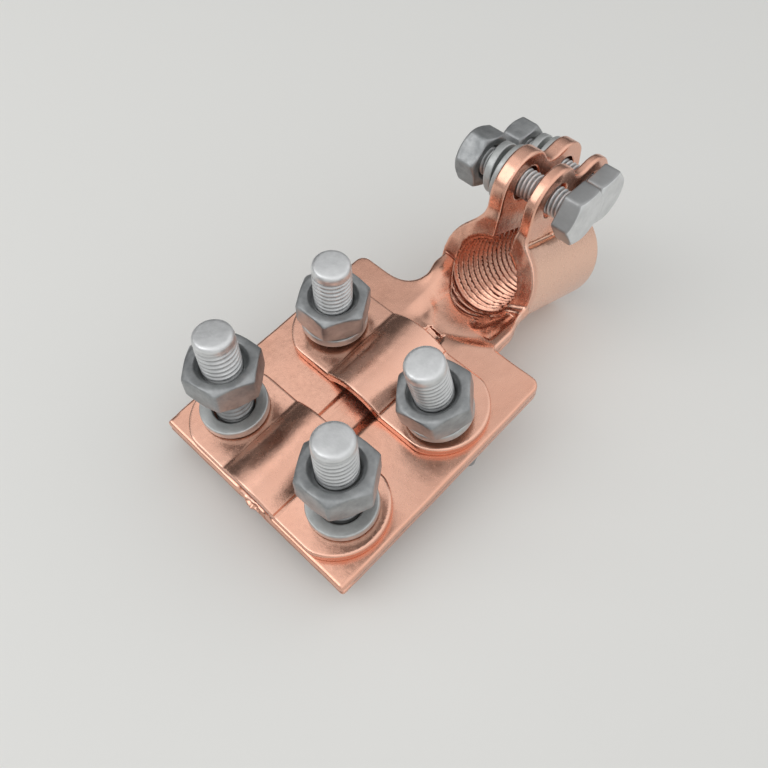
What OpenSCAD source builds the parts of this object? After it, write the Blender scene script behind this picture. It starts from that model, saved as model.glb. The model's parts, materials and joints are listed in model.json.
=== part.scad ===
// Transformer terminal clamp, millimetres, +Z up, standing as it rests on a table.
// The palm is drawn level first and the barrel hangs from it at its own pitch.
// The whole clamp is then tipped back until the front bolt heads and the barrel touch the floor.

/* [Palm plate] */
// Width of the palm across the bolts
palm_w = 64.5; // [50:0.5:90]
// Length of the palm from nose to rear shoulders
palm_l = 72; // [60:0.5:100]
// Thickness of the copper palm
palm_t = 4.8; // [3:0.1:8]
// Rounding of the two rear corners
palm_rear_r = 3; // [0.5:0.1:8]
// Rounding of the two front corners
palm_front_r = 1; // [0.5:0.1:6]
// Inside rounding of the left shoulder, where the neck leaves the palm
shoulder_left_r = 9; // [1:0.5:14]
// Inside rounding of the right shoulder
shoulder_right_r = 2; // [1:0.5:14]
// Half width of the neck where it leaves the palm
neck_half_w = 14; // [10:0.1:20]

/* [Conductor groove] */
// Width of the groove at the palm face
groove_w = 10.6; // [6:0.1:16]
// Depth of the groove below the palm face
groove_d = 2.3; // [1:0.1:3]
// Sideways shift of the groove from the palm centre
groove_x = 1.2; // [-3:0.1:3]
// Place of the sheared rear end of the groove
groove_end_y = 31.2; // [24:0.1:35]

/* [Barrel] */
// Angle by which the barrel drops below the palm plane
barrel_pitch = 29; // [0:0.5:45]
// Distance from palm centre to the near end, along the barrel
barrel_near = 45.5; // [40:0.1:60]
// Height of the barrel axis over the palm centre, square to the barrel
barrel_rise = 25.8; // [20:0.1:35]
// Length of the barrel
barrel_l = 37.7; // [25:0.1:60]
// Outside radius of the barrel
barrel_r = 15.2; // [12:0.1:22]
// Bore radius, the major radius of the stud thread
bore_r = 11; // [6:0.1:16]
// Radius over the crests of the stud thread
bore_crest_r = 9.8; // [5:0.1:15]
// Pitch of the stud thread
bore_pitch = 2.5; // [1:0.1:4]
// Width of the flat on each crest
bore_land = 0.9; // [0.2:0.1:2]
// Growth of each crest radius where the thread runs out past the near end
bore_runout = 0.3; // [0:0.1:1]
// Sideways shift of the barrel from the palm centre
barrel_x = -0.7; // [-2:0.1:2]
// Chamfer at the far mouth of the bore
bore_chamfer = 1; // [0:0.1:2]
// Slope of the throat floor that runs from the palm down into the bore
throat_slope = 43.5; // [30:0.5:60]
// Distance by which the throat floor meets the bore ahead of the near end
throat_reach = 4; // [0:0.1:8]

/* [Clamping ears] */
// Clear slot between the two ears
ear_gap = 6.2; // [2:0.1:10]
// Thickness of one ear
ear_t = 3.6; // [2:0.1:6]
// Radius of the rounded lobe round each bolt
ear_lobe_r = 9; // [7:0.1:12]
// Height of the ear bolts above the barrel axis
ear_bolt_h = 25.7; // [20:0.1:32]
// Place of the near ear bolt from the near end of the barrel
ear_bolt_y = 6.5; // [4:0.1:14]
// Spacing of the two ear bolts
ear_bolt_gap = 19.6; // [16:0.1:26]
// Radius of the hollow between the two lobes
ear_saddle_r = 6; // [3:0.1:12]
// Bolt hole radius in the ears
ear_hole_r = 4.8; // [4.4:0.1:6]
// Radius of the hollow where an ear meets the barrel
ear_root_r = 1.2; // [0.5:0.1:3]

/* [Keeper straps] */
// Width of a strap along the clamp
strap_w = 25.2; // [20:0.1:34]
// Thickness of a strap
strap_t = 3; // [2:0.1:5]
// Radius of the rounded strap ends
strap_end_r = 13.2; // [12.7:0.1:20]
// Place of the end rounding from the strap centre
strap_end_x = 17.2; // [14:0.1:22]
// Width of the arch over the conductor groove
arch_w = 19.2; // [12:0.1:24]
// Rise of the arch
arch_h = 3.6; // [1:0.1:6]
// Centre of the front strap along the palm
front_strap_y = -22.5; // [-24:0.1:-18]
// Centre of the rear strap along the palm
rear_strap_y = 13; // [8:0.1:18]

/* [Palm bolts] */
// Distance of the front bolts from the palm centre line
palm_bolt_x = 19.3; // [16:0.1:26]
// Row of the front bolts
front_bolt_y = -22.3; // [-26:0.1:-18]
// Places of the rear bolts along the palm, left and right
rear_bolt_y = [12.6, 11.5]; // [6:0.1:18]
// Places of the rear bolts across the palm, left and right
rear_bolt_x = [-19.4, 20.2]; // [-26:0.1:26]
// Radius of the M10 bolts over the thread
palm_bolt_r = 5; // [4:0.5:6]
// Length of the front bolts below the head
front_bolt_l = 39.4; // [30:0.1:60]
// Length of the rear bolts below the head
rear_bolt_l = 35; // [30:0.1:60]
// Head height
palm_head_h = 6.4; // [5:0.1:8]
// Width across the flats of heads and nuts
palm_af = 17.4; // [13:0.1:19]
// Nut height
palm_nut_h = 7.8; // [6:0.1:10]
// Clear bolt hole radius in the palm and the straps
palm_hole_r = 6.5; // [5.8:0.1:7]
// Lean of the front bolts, to the right and to the rear
lean_front = [-2, 6]; // [-12:0.5:12]
// Lean of the rear left bolt, to the right and to the rear
lean_rear_left = [3.5, 4]; // [-12:0.5:12]
// Lean of the rear right bolt, to the right and to the rear
lean_rear_right = [-5, -6]; // [-12:0.5:12]
// Seat of the front heads below the palm face
drop_front = 6.3; // [4.4:0.1:8]
// Seat of the rear left head below the palm face
drop_rear_left = 7.2; // [4.4:0.1:14]
// Seat of the rear right head below the palm face
drop_rear_right = 6.6; // [4.4:0.1:14]
// Height of the under faces of the two front nuts, left and right
front_nut_z = [15.1, 14.3]; // [8:0.1:24]
// Pitch of the palm bolt thread
palm_pitch = 1.5; // [1:0.05:2]
// Length of the thread below the tip of a palm bolt
palm_thread_l = 26; // [10:1:40]

/* [Spring washers] */
// Inside radius of the palm spring washers
palm_spring_ri = 5.6; // [5.1:0.1:6]
// Outside radius of the palm spring washers
palm_spring_ro = 8.8; // [8:0.1:10]
// Section height of the palm spring washers
palm_spring_t = 2.6; // [1.5:0.1:4]
// Rise between the two ends of a palm spring washer
palm_spring_rise = 0.7; // [0:0.1:3]

// Width of the slit in every spring washer
washer_slit = 1.2; // [0.4:0.1:3]

/* [Ear bolts] */
// Radius of the M8 bolts over the thread
ear_bolt_r = 4; // [3:0.5:5]
// Length of the bolts below the head
ear_bolt_l = 30; // [25:1:45]
// Head height
ear_head_h = 5.6; // [4:0.1:7]
// Width across the flats of heads and nuts
ear_af = 14; // [10:0.5:17]
// Nut height
ear_nut_h = 6.8; // [5:0.1:8]
// Pitch of the ear bolt thread
ear_pitch = 1.25; // [1:0.05:2]
// Length of the thread below the tip of an ear bolt
ear_thread_l = 22; // [10:1:30]
// Clear space between the right ear and the near and the far bolt head
ear_head_gap = [5, 1.2]; // [0.5:0.1:6]
// Flat washer radius
ear_flat_ro = 8; // [7:0.1:9]
// Flat washer thickness
ear_flat_t = 1.6; // [1:0.1:3]
// Inside radius of the ear spring washers
ear_spring_ri = 4.6; // [4.1:0.1:5]
// Outside radius of the ear spring washers
ear_spring_ro = 7; // [6:0.1:8]
// Section height of the ear spring washers
ear_spring_t = 2.3; // [1.5:0.1:3]
// Rise between the two ends of an ear spring washer
ear_spring_rise = 1.9; // [0:0.1:3]
// Lean of the ear spring washers, top away from the ears
ear_spring_lean = 4; // [0:0.5:6]
// Clear space between the spring washer and its nut
ear_nut_gap = 1.5; // [0.4:0.1:4]

/* [Fits] */
// Depth of a bolt thread over its pitch
thread_ratio = 0.36; // [0.2:0.02:0.6]
// Running clearance of a nut on its bolt
thread_fit = 0.06; // [0.02:0.01:0.1]
// Gap between a washer and the piece it bears on
seat_gap = 0.05; // [0.02:0.01:0.2]
// Gap kept between pieces that move past one another
move_gap = 0.3; // [0.2:0.05:1]

/* [Hidden] */
$fn = 72;
half_w = palm_w / 2;
half_l = palm_l / 2;
arch_half = arch_w / 2;
arch_r = (arch_half * arch_half + arch_h * arch_h) / (2 * arch_h);
groove_r = (groove_w * groove_w / 4 + groove_d * groove_d) / (2 * groove_d);
ear_out = ear_gap / 2 + ear_t;
front_x = [-palm_bolt_x, palm_bolt_x];
ear_bolt_far_y = ear_bolt_y + ear_bolt_gap;
// Tilt of a leaned bolt against the palm normal
tilt_rear_left = acos(cos(lean_rear_left[0]) * cos(lean_rear_left[1]));
tilt_rear_right = acos(cos(lean_rear_right[0]) * cos(lean_rear_right[1]));
// Under face of a rear spring washer, measured up its leaned bolt
seat_rear_left = (strap_t + move_gap + palm_spring_ro * sin(tilt_rear_left)) / cos(tilt_rear_left);
seat_rear_right = (strap_t + move_gap + palm_spring_ro * sin(tilt_rear_right)) / cos(tilt_rear_right);
palm_spring_mid = (palm_spring_ri + palm_spring_ro) / 2;
ear_spring_mid = (ear_spring_ri + ear_spring_ro) / 2;
// Height by which an end of a spring washer dips past the ring's mean helix
palm_spring_back = palm_spring_rise / 4 * (palm_spring_ro / palm_spring_mid - 1);
ear_spring_back = ear_spring_rise / 4 * (ear_spring_ro / ear_spring_mid - 1);
palm_spring_full = palm_spring_t + palm_spring_rise + 2 * palm_spring_back;
ear_spring_full = ear_spring_t + ear_spring_rise + 2 * ear_spring_back;
// Lowest point of the front heads and of the barrel, in the palm frame
head_down = drop_front + palm_head_h;
head_edge = palm_af / 2 * 0.96;
foot_y = front_bolt_y - head_down * sin(lean_front[1]) - head_edge * cos(lean_front[1]);
foot_z = -head_down * cos(lean_front[1]) + head_edge * sin(lean_front[1]);
tail_s = barrel_near + barrel_l;
tail_u = barrel_rise - barrel_r;
tail_y = tail_s * cos(barrel_pitch) + tail_u * sin(barrel_pitch);
tail_z = -tail_s * sin(barrel_pitch) + tail_u * cos(barrel_pitch);
rest_tilt = atan2(foot_z - tail_z, tail_y - foot_y);
// Centre of the bore where its far chamfer begins, in the palm frame
mouth_s = tail_s - bore_chamfer;
mouth_y = mouth_s * cos(barrel_pitch) + barrel_rise * sin(barrel_pitch);
mouth_z = -mouth_s * sin(barrel_pitch) + barrel_rise * cos(barrel_pitch);

// From the level palm to the way the clamp rests, with the origin just inside the bore mouth
module place() {
  rotate([rest_tilt, 0, 0])
    translate([-barrel_x, -mouth_y, -mouth_z])
      children();
}

// Barrel frame: origin in the near end, Y along the barrel, Z toward the ears
module barrel_frame() {
  rotate([-barrel_pitch, 0, 0])
    translate([barrel_x, barrel_near, barrel_rise])
      children();
}

// Axis of one palm bolt, Z up the bolt from the palm face
module palm_axis(x, y, lean) {
  translate([x, y, 0])
    rotate([-lean[1], lean[0], 0])
      children();
}

// Axis of one ear bolt, Z toward the head
module ear_axis(y) {
  barrel_frame()
    translate([0, y, ear_bolt_h])
      rotate([0, 90, 0])
        children();
}

// Plan of the palm with its neck
module palm_plan() {
  difference() {
    union() {
      translate([-half_w + palm_front_r, -half_l])
        square([palm_w - 2 * palm_front_r, palm_l / 2]);
      translate([-half_w, -half_l + palm_front_r])
        square([palm_w, palm_l - palm_front_r - palm_rear_r]);
      translate([-half_w + palm_rear_r, 0])
        square([palm_w - 2 * palm_rear_r, half_l]);
      for (sx = [-1, 1]) {
        translate([sx * (half_w - palm_front_r), -half_l + palm_front_r])
          circle(r = palm_front_r);
        translate([sx * (half_w - palm_rear_r), half_l - palm_rear_r])
          circle(r = palm_rear_r);
      }
      polygon([[-neck_half_w - shoulder_left_r, half_l - 2], [-neck_half_w - shoulder_left_r, half_l],
        [-neck_half_w, half_l + shoulder_left_r], [-neck_half_w, half_l + 16],
        [neck_half_w, half_l + 16], [neck_half_w, half_l + shoulder_right_r],
        [neck_half_w + shoulder_right_r, half_l], [neck_half_w + shoulder_right_r, half_l - 2]]);
    }
    translate([-neck_half_w - shoulder_left_r, half_l + shoulder_left_r])
      circle(r = shoulder_left_r);
    translate([neck_half_w + shoulder_right_r, half_l + shoulder_right_r])
      circle(r = shoulder_right_r);
  }
}

// Side profile of the palm: a full round nose and a flat plate
module palm_side() {
  translate([-half_l + palm_t / 2, -palm_t / 2])
    circle(d = palm_t);
  translate([-half_l + palm_t / 2, -palm_t])
    square([palm_l + 20, palm_t]);
}

// Palm plate, cut to plan and to side profile
module palm_plate() {
  intersection() {
    translate([0, 0, -palm_t - 1])
      linear_extrude(palm_t + 2)
        palm_plan();
    translate([-half_w - 1, 0, 0])
      rotate([90, 0, 90])
        linear_extrude(palm_w + 2)
          palm_side();
  }
}

// Side view of one ear: two lobes with a hollow between, standing on the barrel
module ear_side() {
  mid = ear_bolt_y + ear_bolt_gap / 2;
  reach = ear_lobe_r + ear_saddle_r;
  saddle_h = ear_bolt_h + sqrt(reach * reach - ear_bolt_gap * ear_bolt_gap / 4);
  difference() {
    union() {
      translate([ear_bolt_y, ear_bolt_h])
        circle(r = ear_lobe_r);
      translate([ear_bolt_far_y, ear_bolt_h])
        circle(r = ear_lobe_r);
      translate([0, bore_r])
        square([ear_bolt_far_y + ear_lobe_r - 1, ear_bolt_h - bore_r]);
      translate([ear_bolt_y, bore_r])
        square([ear_bolt_gap, saddle_h - bore_r - ear_saddle_r + 2]);
    }
    translate([mid, saddle_h])
      circle(r = ear_saddle_r);
    for (y = [ear_bolt_y, ear_bolt_far_y])
      translate([y, ear_bolt_h])
        circle(r = ear_hole_r);
  }
}

// Section of the barrel with the feet of the two ears and their hollows
module barrel_section() {
  root_x = ear_out + ear_root_r;
  root_y = sqrt((barrel_r + ear_root_r) * (barrel_r + ear_root_r) - root_x * root_x);
  circle(r = barrel_r);
  difference() {
    translate([-root_x, 0])
      square([2 * root_x, root_y]);
    for (sx = [-1, 1])
      translate([sx * root_x, root_y])
        circle(r = ear_root_r);
  }
}

// Barrel and ears, solid
module barrel_solid() {
  barrel_frame() {
    translate([0, barrel_l, 0])
      rotate([90, 0, 0])
        linear_extrude(barrel_l)
          barrel_section();
    translate([-ear_out, 0, 0])
      rotate([90, 0, 90])
        linear_extrude(2 * ear_out)
          ear_side();
  }
}

// Belly under the rear of the palm: the barrel carried forward below the palm face
module neck_belly() {
  intersection() {
    rotate([-barrel_pitch, 0, 0])
      translate([barrel_x, barrel_near + 1, barrel_rise])
        rotate([90, 0, 0])
          cylinder(r = barrel_r, h = 26);
    translate([-half_w, half_l - 8, -40])
      cube([palm_w, 40, 40]);
  }
}

// A sloping round cutter whose floor line leaves the palm face at y0
module scoop(y0, slope, r) {
  translate([barrel_x, y0, 0])
    rotate([-slope, 0, 0])
      translate([0, -12, r])
        rotate([-90, 0, 0])
          cylinder(r = r, h = 60);
}

// Throat: one steep floor into the bore and two shallow ones that round the brow
module throat() {
  brow_step = 1.1;
  slope_step = 13;
  radius_step = 0.5;
  floor_u = barrel_rise - bore_r;
  floor_s = barrel_near - throat_reach;
  floor_y = floor_s * cos(barrel_pitch) + floor_u * sin(barrel_pitch);
  floor_z = -floor_s * sin(barrel_pitch) + floor_u * cos(barrel_pitch);
  brow_y = floor_y + floor_z / tan(throat_slope);
  intersection() {
    union() {
      for (k = [0:2])
        scoop(brow_y - k * brow_step, throat_slope - k * slope_step, bore_r + k * radius_step);
    }
    rotate([-barrel_pitch, 0, 0])
      translate([-half_w, 0, -20])
        cube([palm_w, floor_s + 0.3, 80]);
  }
}

// Threaded bore: V grooves between flat crests, counted from the far mouth, which is chamfered
module bore_cut() {
  flank = (bore_pitch - bore_land) / 2;
  mouth = barrel_l - bore_chamfer;
  last = floor((mouth + throat_reach) / bore_pitch);
  past = function(k) max(0, ceil((k * bore_pitch - mouth + bore_land) / bore_pitch));
  crest = function(k) bore_crest_r + bore_runout * past(k);
  barrel_frame()
    rotate([-90, 0, 0])
      rotate_extrude()
        polygon([
          [0, mouth - last * bore_pitch - bore_land - flank],
          for (k = [last:-1:0])
            each [[bore_r, mouth - k * bore_pitch - bore_land - flank],
              [crest(k), mouth - k * bore_pitch - bore_land],
              [crest(k), mouth - k * bore_pitch]],
          [bore_crest_r + 2 * bore_chamfer, barrel_l + bore_chamfer],
          [0, barrel_l + bore_chamfer]]);
}

// Slot between the two ears, open from the bore upward
module slot_cut() {
  barrel_frame()
    translate([-ear_gap / 2, -20, 0])
      cube([ear_gap, barrel_l + 40, ear_bolt_h + ear_lobe_r + 20]);
}

// Shallow round groove in which the conductor lies
module groove_cut() {
  translate([groove_x, -half_l - 1, groove_r - groove_d])
    rotate([-90, 0, 0])
      cylinder(r = groove_r, h = half_l + 1 + groove_end_y);
}

// One bolt hole through the palm
module palm_hole_cut(x, y) {
  translate([x, y, -palm_t - 1])
    cylinder(r = palm_hole_r, h = palm_t + 2);
}

// Copper body in one piece: palm, neck, threaded barrel and ears
module clamp_body() {
  color([0.80, 0.50, 0.38])
    place()
      difference() {
        union() {
          palm_plate();
          neck_belly();
          barrel_solid();
        }
        bore_cut();
        slot_cut();
        groove_cut();
        for (side = [0, 1]) {
          palm_hole_cut(front_x[side], front_bolt_y);
          palm_hole_cut(rear_bolt_x[side], rear_bolt_y[side]);
        }
        throat();
      }
}

// Plan of a strap: straight long edges and round ends
module strap_plan() {
  intersection() {
    square([2 * (strap_end_x + strap_end_r), strap_w], center = true);
    union() {
      for (sx = [-1, 1])
        translate([sx * strap_end_x, 0])
          circle(r = strap_end_r);
      square([2 * strap_end_x, strap_w], center = true);
    }
  }
}

// Front view of a strap: two flats and an arch between
module strap_front() {
  reach = strap_end_x + strap_end_r;
  rise = strap_t + arch_h - arch_r;
  difference() {
    union() {
      translate([-reach, 0])
        square([2 * reach, strap_t]);
      intersection() {
        translate([0, rise])
          circle(r = arch_r);
        translate([-arch_half, 0])
          square([arch_w, strap_t + arch_h]);
      }
    }
    translate([0, rise])
      circle(r = arch_r - strap_t);
  }
}

// Keeper strap lying on the palm
module strap(y, holes_x, holes_y) {
  color([0.83, 0.53, 0.40])
    place()
      difference() {
        intersection() {
          translate([0, y, 0])
            linear_extrude(strap_t + arch_h + 1)
              strap_plan();
          translate([0, y + strap_w, 0])
            rotate([90, 0, 0])
              linear_extrude(2 * strap_w)
                strap_front();
        }
        for (side = [0, 1])
          translate([holes_x[side], holes_y[side], -1])
            cylinder(r = palm_hole_r, h = strap_t + 2);
      }
}

module front_strap() {
  strap(front_strap_y, front_x, [front_bolt_y, front_bolt_y]);
}

module rear_strap() {
  strap(rear_strap_y, rear_bolt_x, rear_bolt_y);
}

// Hexagon with both end edges turned round, standing on z = 0
module hexagon(af, h, under, top) {
  corner = af / sqrt(3);
  flat = af / 2 * 0.96;
  drop = (corner - flat) * 0.58;
  intersection() {
    cylinder(r = corner, h = h, $fn = 6);
    rotate_extrude()
      polygon([[0, 0], [under ? flat : corner + 1, 0], [corner + 1, under ? drop + 0.58 : 0],
        [corner + 1, top ? h - drop - 0.58 : h], [top ? flat : corner + 1, h], [0, h]]);
  }
}

// Hexagon bolt, head under z = 0 and shank upward, with V thread rings below a rounded off tip
module hex_bolt(r, l, af, head_h, pitch, thread_l) {
  rim = l - 0.3 * r;
  root_r = r - thread_ratio * pitch;
  rings = floor((thread_l - 0.3 * r) / pitch);
  translate([0, 0, -head_h])
    hexagon(af, head_h, true, false);
  rotate_extrude()
    polygon([
      [0, -1],
      [r, -1],
      for (k = [rings:-1:1])
        each [[r, rim - k * pitch], [root_r, rim - (k - 0.42) * pitch], [r, rim - (k - 0.84) * pitch]],
      [r, rim],
      [0.93 * r, l - 0.12 * r],
      [0.82 * r, l - 0.03 * r],
      [0, l]]);
}

// Hexagon nut with countersunk mouths, standing on z = 0
module hex_nut(r, af, h) {
  mouth = 0.2 * r;
  difference() {
    hexagon(af, h, true, true);
    translate([0, 0, -1])
      cylinder(r = r + thread_fit, h = h + 2);
    translate([0, 0, h - 1.6 * mouth])
      cylinder(r1 = r, r2 = r + 1.25 * mouth, h = 1.6 * mouth + 0.01);
    translate([0, 0, -0.01])
      cylinder(r1 = r + mouth, r2 = r, h = mouth);
  }
}

// Split spring washer: a slit ring whose two halves climb from one end to the other
module spring_washer(ri, ro, t, rise) {
  mid_r = (ri + ro) / 2;
  end_dip = rise / 4 * (ro / mid_r - 1);
  low = rise / 4 * (ro / mid_r + 1) + end_dip;
  top = rise + 2 * end_dip;
  high = top - low;
  intersection() {
    difference() {
      translate([0, 0, -1])
        cylinder(r = ro, h = top + t + 2);
      translate([0, 0, -2])
        cylinder(r = ri, h = top + t + 4);
      translate([0, -washer_slit / 2, -2])
        cube([ro + 1, washer_slit, top + t + 4]);
    }
    union() {
      translate([0, ro, 0])
        rotate([90, 0, 0])
          linear_extrude(ro)
            polygon([[-ro, low], [ro, 0], [ro, t], [-ro, low + t]]);
      rotate([90, 0, 0])
        linear_extrude(ro)
          polygon([[-ro, high], [ro, top], [ro, top + t], [-ro, high + t]]);
    }
  }
}

module palm_bolt(x, y, lean, drop, l, turn) {
  color([0.55, 0.57, 0.58])
    place()
      palm_axis(x, y, lean)
        translate([0, 0, -drop])
          rotate([0, 0, turn])
            hex_bolt(palm_bolt_r, l, palm_af, palm_head_h, palm_pitch, palm_thread_l);
}

module palm_bolt_fl() {
  palm_bolt(front_x[0], front_bolt_y, lean_front, drop_front, front_bolt_l, 12);
}

module palm_bolt_fr() {
  palm_bolt(front_x[1], front_bolt_y, lean_front, drop_front, front_bolt_l, 40);
}

module palm_bolt_rl() {
  palm_bolt(rear_bolt_x[0], rear_bolt_y[0], lean_rear_left, drop_rear_left, rear_bolt_l, 25);
}

module palm_bolt_rr() {
  palm_bolt(rear_bolt_x[1], rear_bolt_y[1], lean_rear_right, drop_rear_right, rear_bolt_l, 51);
}

module palm_nut(x, y, lean, z, turn) {
  color([0.50, 0.52, 0.53])
    place()
      palm_axis(x, y, lean)
        translate([0, 0, z])
          rotate([0, 0, turn])
            hex_nut(palm_bolt_r, palm_af, palm_nut_h);
}

module palm_nut_fl() {
  palm_nut(front_x[0], front_bolt_y, lean_front, front_nut_z[0], 11);
}

module palm_nut_fr() {
  palm_nut(front_x[1], front_bolt_y, lean_front, front_nut_z[1], 4);
}

module palm_nut_rl() {
  z = seat_rear_left + palm_spring_full + seat_gap;
  palm_nut(rear_bolt_x[0], rear_bolt_y[0], lean_rear_left, z, 2);
}

module palm_nut_rr() {
  z = seat_rear_right + palm_spring_full + seat_gap;
  palm_nut(rear_bolt_x[1], rear_bolt_y[1], lean_rear_right, z, 9);
}

// Front washers lie flat on their strap, centred where the leaned bolt passes
module front_washer(x, turn) {
  z = strap_t + palm_spring_t / 2;
  color([0.66, 0.67, 0.68])
    place()
      translate([x + z * tan(lean_front[0]), front_bolt_y + z * tan(lean_front[1]), strap_t])
        rotate([0, 0, turn])
          spring_washer(palm_spring_ri, palm_spring_ro, palm_spring_t, palm_spring_rise);
}

// Rear washers are square to their bolt, under the nut
module rear_washer(x, y, lean, seat, turn) {
  color([0.66, 0.67, 0.68])
    place()
      palm_axis(x, y, lean)
        translate([0, 0, seat])
          rotate([0, 0, turn])
            spring_washer(palm_spring_ri, palm_spring_ro, palm_spring_t, palm_spring_rise);
}

module palm_washer_fl() {
  front_washer(front_x[0], 100);
}

module palm_washer_fr() {
  front_washer(front_x[1], 70);
}

module palm_washer_rl() {
  rear_washer(rear_bolt_x[0], rear_bolt_y[0], lean_rear_left, seat_rear_left, 120);
}

module palm_washer_rr() {
  rear_washer(rear_bolt_x[1], rear_bolt_y[1], lean_rear_right, seat_rear_right, 60);
}

module ear_bolt(y, gap, turn) {
  color([0.55, 0.57, 0.58])
    place()
      ear_axis(y)
        translate([0, 0, ear_out + gap])
          rotate([180, 0, turn])
            hex_bolt(ear_bolt_r, ear_bolt_l, ear_af, ear_head_h, ear_pitch, ear_thread_l);
}

module ear_nut(y, turn) {
  color([0.50, 0.52, 0.53])
    place()
      ear_axis(y)
        translate([0, 0, -ear_out - ear_flat_t - seat_gap - ear_spring_full - ear_nut_gap])
          rotate([180, 0, turn])
            hex_nut(ear_bolt_r, ear_af, ear_nut_h);
}

// The ear spring washers stand on their lower edge and lean out at the top
module ear_spring_washer(y) {
  foot = ear_spring_ro * sin(ear_spring_lean);
  shift = ear_spring_full / 2 * sin(ear_spring_lean);
  color([0.66, 0.67, 0.68])
    place()
      ear_axis(y)
        translate([-shift, 0, -ear_out - ear_flat_t - seat_gap - foot])
          rotate([180, -ear_spring_lean, 0])
            spring_washer(ear_spring_ri, ear_spring_ro, ear_spring_t, ear_spring_rise);
}

module ear_flat_washer(y) {
  color([0.66, 0.67, 0.68])
    place()
      ear_axis(y)
        translate([0, 0, -ear_out - ear_flat_t])
          difference() {
            cylinder(r = ear_flat_ro, h = ear_flat_t);
            translate([0, 0, -1])
              cylinder(r = ear_bolt_r + 0.45, h = ear_flat_t + 2);
          }
}

module ear_bolt_near() {
  ear_bolt(ear_bolt_y, ear_head_gap[0], 53);
}

module ear_bolt_far() {
  ear_bolt(ear_bolt_far_y, ear_head_gap[1], 58);
}

module ear_nut_near() {
  ear_nut(ear_bolt_y, 37);
}

module ear_nut_far() {
  ear_nut(ear_bolt_far_y, 56);
}

module ear_spring_washer_near() {
  ear_spring_washer(ear_bolt_y);
}

module ear_spring_washer_far() {
  ear_spring_washer(ear_bolt_far_y);
}

module ear_flat_washer_near() {
  ear_flat_washer(ear_bolt_y);
}

module ear_flat_washer_far() {
  ear_flat_washer(ear_bolt_far_y);
}

clamp_body();
front_strap();
rear_strap();
palm_bolt_fl();
palm_bolt_fr();
palm_bolt_rl();
palm_bolt_rr();
palm_nut_fl();
palm_nut_fr();
palm_nut_rl();
palm_nut_rr();
palm_washer_fl();
palm_washer_fr();
palm_washer_rl();
palm_washer_rr();
ear_bolt_near();
ear_bolt_far();
ear_nut_near();
ear_nut_far();
ear_spring_washer_near();
ear_spring_washer_far();
ear_flat_washer_near();
ear_flat_washer_far();
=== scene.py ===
"""Looks of a transformer terminal clamp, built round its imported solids.

Sizes are millimetres in local frames, the level palm, the pitched barrel and the bolt axes.
Each frame is a matrix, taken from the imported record, that places its points in metres.
"""
import json
import math

import bpy
import numpy as np
from mathutils import Matrix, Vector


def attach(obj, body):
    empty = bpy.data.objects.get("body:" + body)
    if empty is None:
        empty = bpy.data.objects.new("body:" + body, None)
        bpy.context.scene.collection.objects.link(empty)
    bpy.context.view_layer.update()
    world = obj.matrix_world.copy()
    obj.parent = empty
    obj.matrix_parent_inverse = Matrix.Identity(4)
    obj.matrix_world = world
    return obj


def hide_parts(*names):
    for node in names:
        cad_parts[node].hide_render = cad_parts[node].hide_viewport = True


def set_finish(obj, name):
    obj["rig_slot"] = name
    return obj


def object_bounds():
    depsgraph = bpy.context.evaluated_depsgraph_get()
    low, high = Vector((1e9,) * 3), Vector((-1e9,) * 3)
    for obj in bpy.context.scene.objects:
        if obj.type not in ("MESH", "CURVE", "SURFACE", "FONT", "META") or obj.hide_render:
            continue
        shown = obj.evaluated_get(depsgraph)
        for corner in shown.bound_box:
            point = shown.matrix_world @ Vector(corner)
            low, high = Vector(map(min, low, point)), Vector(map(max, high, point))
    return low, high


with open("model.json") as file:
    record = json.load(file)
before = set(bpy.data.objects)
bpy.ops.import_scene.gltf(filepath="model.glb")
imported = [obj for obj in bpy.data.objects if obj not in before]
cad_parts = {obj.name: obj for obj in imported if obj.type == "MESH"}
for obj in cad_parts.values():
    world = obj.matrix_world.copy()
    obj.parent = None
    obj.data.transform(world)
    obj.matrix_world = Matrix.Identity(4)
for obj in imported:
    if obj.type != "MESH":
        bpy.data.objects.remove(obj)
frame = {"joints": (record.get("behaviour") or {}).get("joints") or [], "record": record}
cad_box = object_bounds()

MM = 0.001
joints = {joint["name"]: joint for joint in frame["joints"]}
mounts = {mount["name"]: mount for mount in frame["record"]["mounts"]}

# Palm plate and groove
PALM_HALF_W = 32.25
PALM_HALF_L = 36.0
PALM_T = 4.8
REAR_CORNER_R = 3.0
FRONT_CORNER_R = 1.0
PALM_EDGE_R = 0.7
NOSE_EDGE_R = 0.35
NOSE_L = 5.0
PLAN_INSET = 0.12
HOLE_R = 6.5
HOLE_EDGE = 0.4
GROOVE_LEFT = -4.6
GROOVE_RIGHT = 8.2
GROOVE_RIGHT_W = 4.4
GROOVE_TAPER = 2.6
GROOVE_TAPER_Y = 8.0
GROOVE_TAPER_L = 20.0
GROOVE_DEPTH = 2.3
GROOVE_END_Y = 31.2
GROOVE_END_L = 0.6
SHEAR_SLOPE = 0.16
SHEAR_X = -2.0
SHEAR_STEP = 1.4
SHEAR_STEP_X = 2.6
SHEAR_STEP_W = 1.4
# Share of the groove's depth, start and width of its left wall, the ledge in it and the floor
GROOVE_STEPS = ((0.62, 0.0, 0.9), (0.16, 1.2, 1.0), (0.22, 2.0, 3.0))

# Unevenness as height, length and seed, and the place and size of the crumpled nose
OUTLINE_WAVE = (0.10, 9, 5)
FACE_WAVE = (0.07, 17, 3)
SEAM_WAVE = (0.12, 6, 8)
CRUMPLE_WAVES = ((0.75, 3.1, 11), (0.25, 1.5, 12))
TORN_WAVE = (0.2, 3.4, 21)
CRUMPLE_X = -0.3
CRUMPLE_SIZE = (3.2, 2.2)

# Seam along the nose, its height as a share of the plate and its sag in the middle
SEAM_AT = 0.52
SEAM_R = 0.5
SEAM_SAG = 0.5
SEAM_SAG_W = 6.0
SEAM_EDGE = 0.35

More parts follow.
